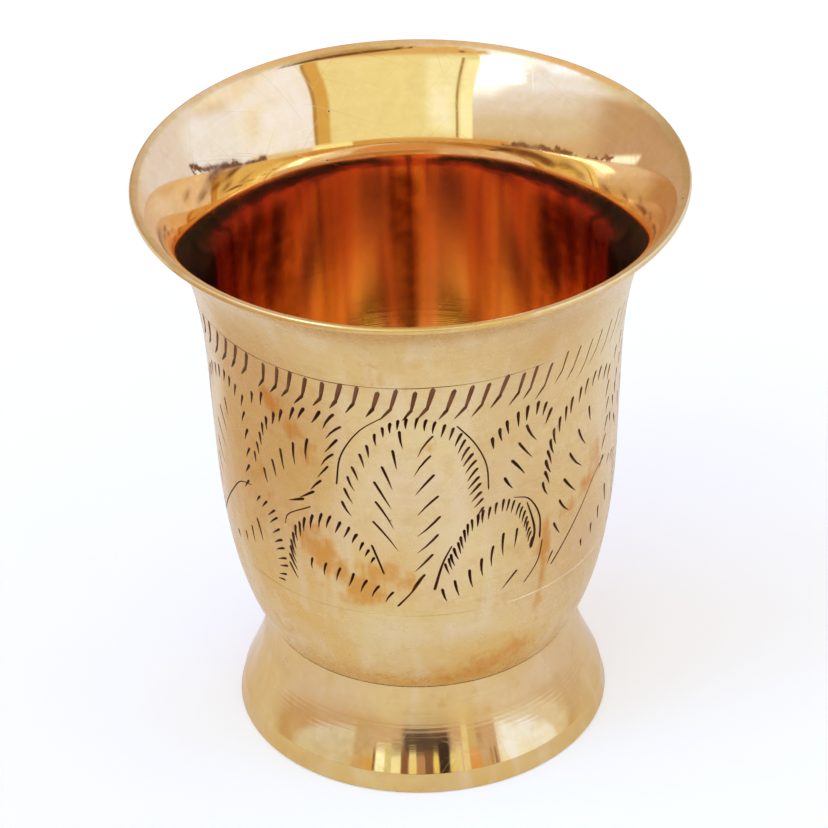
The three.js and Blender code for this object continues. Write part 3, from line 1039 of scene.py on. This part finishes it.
    def relief(self):
        """Turning marks, scratches, pits and slight waves, as a normal."""
        marks = self.plus(self.ring_noise(9, 6.5, 2), self.ring_noise(5, 1.7, 1))
        height = self.times(marks, self.mark("lathe"))
        height = self.minus(height, self.times(self.scratches, SCRATCH_DEPTH))
        height = self.minus(height, self.times(self.pits, PIT_DEPTH))
        height = self.plus(height, self.times(self.noise(self.place, 45, 1), WAVE_HEIGHT))
        return self.add("Bump", {"Height": height, "Strength": 1, "Distance": RELIEF * MM})[0]


polished = Brass("polished_brass").material
dull = Brass("brazing_brass", BRAZING_LIGHT, BRAZING_DARK).material

bowl = make_bowl()
foot = make_foot()
braze = make_braze()
for piece, node, slot, material in [
    (bowl, "bowl", "bowl_brass", polished),
    (foot, "foot", "foot_brass", polished),
    (braze, "braze_ring", "braze_metal", dull),
]:
    piece.data.materials.append(material)
    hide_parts(node)
    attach(piece, "root")


def make_camera():
    """The photograph's view: a long lens, looking down at the tumbler."""
    data = bpy.data.cameras.new("camera")
    data.sensor_width = SENSOR
    data.lens = SENSOR * FOCAL_PIXELS / IMAGE_WIDTH
    camera = placed("camera", data)
    aim = Matrix.Translation(Vector(CAMERA_AIM) * MM)
    lowered = Matrix.Rotation(math.radians(90 - CAMERA_ELEVATION), 4, "X")
    rolled = Matrix.Rotation(math.radians(CAMERA_ROLL), 4, "Z")
    drawn_back = Matrix.Translation((0, 0, CAMERA_DISTANCE * MM))
    camera.matrix_world = aim @ lowered @ rolled @ drawn_back
    bpy.context.scene.camera = camera


FLOOR_HALF = 4000
FLOOR_WHITE = (0.87, 0.87, 0.87)
FLOOR_GLOW = (1, 0.96, 0.93)
FLOOR_GLOW_STRENGTH = 0.22
# What the brass sees of the floor
PAPER = (0.95, 0.93, 0.91)
PAPER_HALF = 55
PAINTED_SHADE_LEFT = (0.74, 0.54, 0.35)
PAINTED_SHADE_RIGHT = (0.8, 0.66, 0.52)


def sheet(name, corners, material):
    """A flat sheet of the studio, with its corners in millimetres."""
    mesh = bpy.data.meshes.new(name)
    mesh.from_pydata([[size * MM for size in corner] for corner in corners], [], [(0, 1, 2, 3)])
    mesh.materials.append(material)
    return placed(name, mesh)


def make_floor():
    """White to the camera. The brass sees white paper, with painted shade in tan at its left and in a strip
    at its right.
    """
    material = new_material("white_floor")
    wiring = Wiring(material.node_tree)
    _, across, deep, _ = wiring.places("Object")
    across, deep = (wiring.math("DIVIDE", value, PAPER_HALF * MM) for value in (across, deep))
    # The tan at the left and the strip at the right are painted shade on the floor as the brass sees it
    left = wiring.times(wiring.step(across, -1, -2), wiring.step(deep, 1.3, 0.9))
    right = wiring.times(wiring.between(across, 1.1, 1.8, 0.35), wiring.step(deep, 0.9, 0))
    reflected = wiring.blend(left, wiring.blend(right, PAPER, PAINTED_SHADE_RIGHT), PAINTED_SHADE_LEFT)
    camera_ray = wiring.add("LightPath")["Is Camera Ray"]
    wiring.feed(wiring.tree.nodes["Principled BSDF"], {
        "Base Color": wiring.blend(camera_ray, reflected, FLOOR_WHITE),
        "Emission Color": FLOOR_GLOW,
        "Emission Strength": wiring.times(camera_ray, FLOOR_GLOW_STRENGTH),
        "Roughness": 1,
        "Specular IOR Level": 0,
    })
    near, far = -FLOOR_HALF, FLOOR_HALF
    floor = sheet("floor", [(near, near, 0), (far, near, 0), (far, far, 0), (near, far, 0)], material)


# The studio as the brass sees it. Each panel is (colour, azimuths, elevations, softness) in degrees,
# with azimuth 0 behind the camera and positive to its right, on past 180 for a panel at the back. The
# softness is that of the sides and of the ends, or one number for both. Later panels cover earlier ones.
TENT = (0.8, 0.77, 0.76)
WALLS = [
    ((0.63, 0.5, 0.42), (166, 264), (-6, 38), 8),  # left side and back of the tent, warm near the table
    ((0.84, 0.92, 1), (170, 256), (38, 52), 6),
    ((0.77, 0.68, 0.5), (-96, -10), (-6, 18), (16, 4)),
    ((0.81, 0.85, 0.88), (-94, -10), (16, 28), (16, 4)),
    ((0.91, 1.06, 1.48), (-94, -10), (27, 37), (16, 4)),
    ((1.02, 1.31, 2.15), (-106, -10), (36, 76), (14, 4)),
    ((1.17, 1.6, 2.95), (-114, -80), (49, 63), 4),
    ((0.55, 0.43, 0.37), (158, 232), (20, 40), (14, 6)),
    ((1, 0.64, 0.36), (138, 236), (50, 66), (16, 7)),
    ((0.88, 1, 1.5), (112, 150), (-12, 60), 8),  # right side, lit from outside
    ((1.06, 1.32, 2.1), (44, 94), (-12, 62), 5),
    ((1, 1.27, 2.1), (88, 118), (-12, 34), 6),
    ((1.03, 1.18, 1.5), (84, 120), (37, 56), 6),
    ((1.03, 1.18, 1.55), (76, 84), (21, 35), 4),
    ((0.8, 0.87, 1.05), (-125, -42), (-12, 8.4), 2),  # what the foot sees near the table
    ((0.67, 0.58, 0.57), (-44, -31), (-12, 8.4), 2),
    ((0.78, 0.5, 0.16), (-52, 30), (9, 12.8), 0.8),  # edge of the table
    ((1.15, 1.32, 0.85), (29, 50), (9, 13), 1),
    ((0.86, 0.84, 0.55), (50, 84), (9.5, 12), 1),
    ((1.3, 1.6, 1.9), (-126, -106), (7, 10), 1),
]
# A lamp behind the cloth. Its lower edge rises on the side away from the camera.
LAMP_RISE = 0.6
LAMP_BEND = -43
LAMP = [((1.6, 2.25, 3.8), (-84, -26), (38, 96), 7)]
OVER_LAMP = [
    ((1.02, 1.31, 2.15), (-112, -20), (67, 96), 3),
    ((3.2, 4.6, 7), (-61, -45), (43, 61), 3),  # the bulb
]
# The open front, which widens upwards, with a yellow wall beyond it
WIDENS_FROM, WIDENING = 30, 0.4
OPENING = [
    ((1, 1.12, 0.85), (-32.5, 49), (12.8, 67), 0.7),
    ((1.1, 1.34, 1.25), (-26, -9), (17, 60), 3),
    ((1.16, 1.42, 1.65), (-21, -12), (22, 40), 3),
    ((1.16, 1.42, 1.25), (-32.5, -26.5), (12.8, 58), 0.6),
    ((0.5, 0.42, 0.16), (-25.4, -24), (13, 60), 0.5),
    ((0.8, 0.6, 0.2), (40, 47.6), (13, 62), 1.2),
    ((0.52, 0.35, 0.14), (46.8, 48.6), (13, 60), 0.8),
    ((0.86, 0.68, 0.36), (-38, 40), (64, 82), 3),
    ((0.62, 0.42, 0.19), (10, 60), (68, 84), 5),
    ((0.3, 0.17, 0.07), (-26, -23.5), (66.5, 69.5), 0.7),
]
# The dark beam over it, which drops towards the right
BEAM_FALL = 0.17
BEAM = [((0.2, 0.1, 0.055), (-6, 84), (73.5, 79), 1.4)]
# Untidy dark edges near the table, whose outlines waver by some degrees
WAVER = 2.2
CLUTTER = [
    ((0.2, 0.09, 0.07), (76, 120), (7.6, 11.4), 0.7),
    ((0.25, 0.12, 0.08), (-88, -48), (8, 12.4), 0.7),
    ((0.3, 0.11, 0.06), (-112, -86), (7.6, 10), 0.6),
]
# A row of things in daylight beyond the front of the table, for the foot to mirror: stripes on a low
# card. Each is (colour, azimuths in degrees, heights in millimetres, softness in both).
CARD_DISTANCE = 600
CARD_LEFT, CARD_RIGHT, CARD_TOP = -360, 580, 180
CARD_BACK = (0.72, 0.61, 0.6)
STRIPES = [
    ((0.62, 0.52, 0.55), (-20, 16), (8, 36), 4),
    ((0.38, 0.31, 0.4), (-14, 3), (28, 40), 3),
    ((0.17, 0.1, 0.1), (-14, 6), (18, 26), 2),
    ((0.45, 0.3, 0.26), (6, 13), (18, 26), 2),
    ((0.45, 0.37, 0.34), (-21, -14), (72, 110), 3),
    ((0.12, 0.09, 0.11), (-14, 15.5), (37, 110), 2.5),
    ((0.09, 0.065, 0.085), (-4, 15.5), (72, 110), 2.5),
    ((0.3, 0.17, 0.1), (-33, -31), (96, 200), 0.4),
    ((1.25, 1.6, 2), (-30.5, -24.8), (94, 200), 0.6),
    ((0.85, 0.92, 0.75), (-24.8, -21), (84, 200), 0.6),
    ((1.12, 1.3, 1.3), (-21, -15.2), (104, 200), 0.5),
    ((0.3, 0.16, 0.12), (-14.8, -10.6), (96, 200), 0.5),
    ((1.02, 1.05, 0.8), (-9.9, -5.5), (97, 200), 0.5),
    ((0.58, 0.4, 0.32), (-5, -0.4), (103, 200), 0.5),
    ((0.26, 0.15, 0.11), (-0.2, 4.7), (96, 200), 0.4),
    ((1.02, 0.98, 0.45), (5.2, 8.1), (102, 200), 0.4),
    ((0.05, 0.03, 0.03), (8.6, 14.9), (76, 200), 0.5),
    ((0.95, 0.97, 0.6), (15.6, 19.5), (102, 200), 0.5),
    ((0.92, 0.95, 0.75), (19.5, 22.8), (86, 200), 0.5),
    ((0.96, 0.99, 0.84), (23.4, 27.6), (-9, 200), 0.8),
    ((0.78, 0.7, 0.54), (28.2, 33), (-9, 200), 0.8),
    ((0.56, 0.43, 0.36), (33, 36.5), (44, 82), 0.8),
    ((0.9, 0.5, 0.24), (27.6, 34.3), (106, 124), 0.6),
    ((0.5, 0.34, 0.24), (40.1, 41.7), (106, 125), 0.4),
    ((0.3, 0.18, 0.12), (42.8, 44.2), (106, 125), 0.4),
]


def cover(wiring, colour, panels, sideways, upwards):
    """Lays panels over a colour, each between two values sideways and two upwards."""
    for panel, (start, end), high, soft in panels:
        at_sides, at_ends = soft if isinstance(soft, tuple) else (soft, soft)
        side = wiring.between(sideways, start, end, at_sides)
        if end > 180:  # it goes on where the azimuths start again
            side = wiring.plus(side, wiring.between(sideways, start - 360, end - 360, at_sides))
        share = wiring.times(side, wiring.between(upwards, *high, at_ends))
        colour = wiring.blend(share, colour, panel)
    return colour


def make_world():
    world = bpy.data.worlds.new("studio")
    world.use_nodes = True
    wiring = Wiring(world.node_tree)
    place, across, deep, high = wiring.places("Generated")
    azimuth = wiring.azimuth(across, wiring.times(deep, -1))
    elevation = wiring.times(wiring.math("ARCSINE", high), DEGREE)
    colour = cover(wiring, TENT, WALLS, azimuth, elevation)
    beyond = wiring.math("MINIMUM", wiring.minus(azimuth, LAMP_BEND), 0)
    risen = wiring.plus(elevation, wiring.times(beyond, LAMP_RISE))
    colour = cover(wiring, colour, LAMP, azimuth, risen)
    colour = cover(wiring, colour, OVER_LAMP, azimuth, elevation)
    lift = wiring.minus(wiring.math("DIVIDE", elevation, WIDENS_FROM), 1)
    lift = wiring.math("MAXIMUM", lift, 0)
    widening = wiring.plus(wiring.times(wiring.times(lift, lift), WIDENING), 1)
    colour = cover(wiring, colour, OPENING, wiring.math("DIVIDE", azimuth, widening), elevation)
    fallen = wiring.plus(elevation, wiring.times(azimuth, BEAM_FALL))
    colour = cover(wiring, colour, BEAM, azimuth, fallen)
    wave = wiring.step(wiring.noise(place, 9, 4), 0.3, 0.7, -WAVER, WAVER)
    colour = cover(wiring, colour, CLUTTER, azimuth, wiring.plus(elevation, wave))
    colour = wiring.blend(wiring.add("LightPath")["Is Camera Ray"], colour, (1, 1, 1))
    wiring.feed(wiring.tree.nodes["Background"], {"Color": colour, "Strength": 1})
    bpy.context.scene.world = world


def make_card():
    material = new_material("stripes")
    wiring = Wiring(material.node_tree)
    _, across, _, high = wiring.places("Object")
    azimuth = wiring.azimuth(across, (CARD_DISTANCE - FOOT_RADIUS) * MM)
    colour = cover(wiring, CARD_BACK, STRIPES, azimuth, wiring.math("DIVIDE", high, MM))
    emission = wiring.add("Emission", {"Color": colour})[0]
    wiring.feed(wiring.tree.nodes["Material Output"], {"Surface": emission})
    outline = [(CARD_LEFT, 0), (CARD_RIGHT, 0), (CARD_RIGHT, CARD_TOP), (CARD_LEFT, CARD_TOP)]
    card = sheet("card", [(side, -CARD_DISTANCE, level) for side, level in outline], material)
    card.visible_camera = False
    card.visible_diffuse = False
    card.visible_shadow = False


make_camera()
make_floor()
make_world()
make_card()

scene = bpy.context.scene
scene.view_settings.view_transform = "Standard"
scene.cycles.max_bounces = 16
scene.cycles.glossy_bounces = 12
